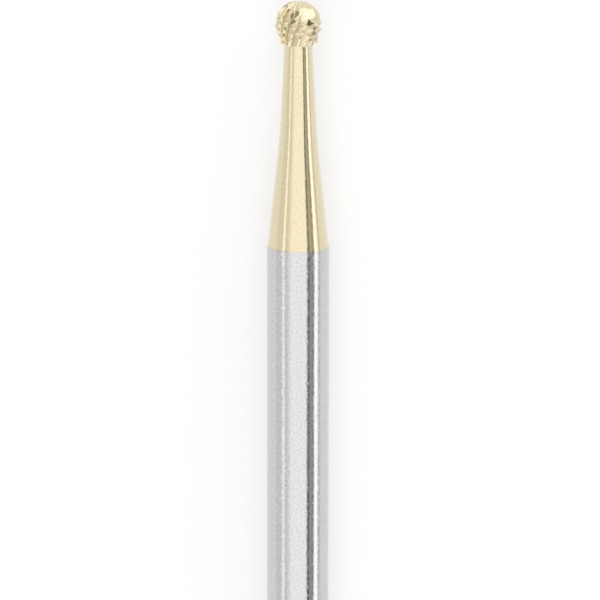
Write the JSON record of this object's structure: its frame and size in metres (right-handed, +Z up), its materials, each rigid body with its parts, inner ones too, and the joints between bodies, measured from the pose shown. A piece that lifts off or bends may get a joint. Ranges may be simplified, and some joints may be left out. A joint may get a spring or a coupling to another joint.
{
  "type": "bone bur",
  "caption": "Round-headed bone bur: a gold-coated, cross-cut ball on a slim tapering neck and a plain steel handpiece shank, for cutting and shaping bone.",
  "frame": {"origin": "centre of the shank's flat back end, on the bur's axis", "axes": "+Y along the axis to the cutting head, +Z up as the bur lies on its shank"},
  "size_m": [0.0024, 0.0445, 0.0024],
  "materials": {
    "steel": "finely ground, satin",
    "gold_coating": "thin pale gold hard coating, satin"
  },
  "bodies": {
    "root": {"bone_bur": "steel"}
  },
  "joints": []
}
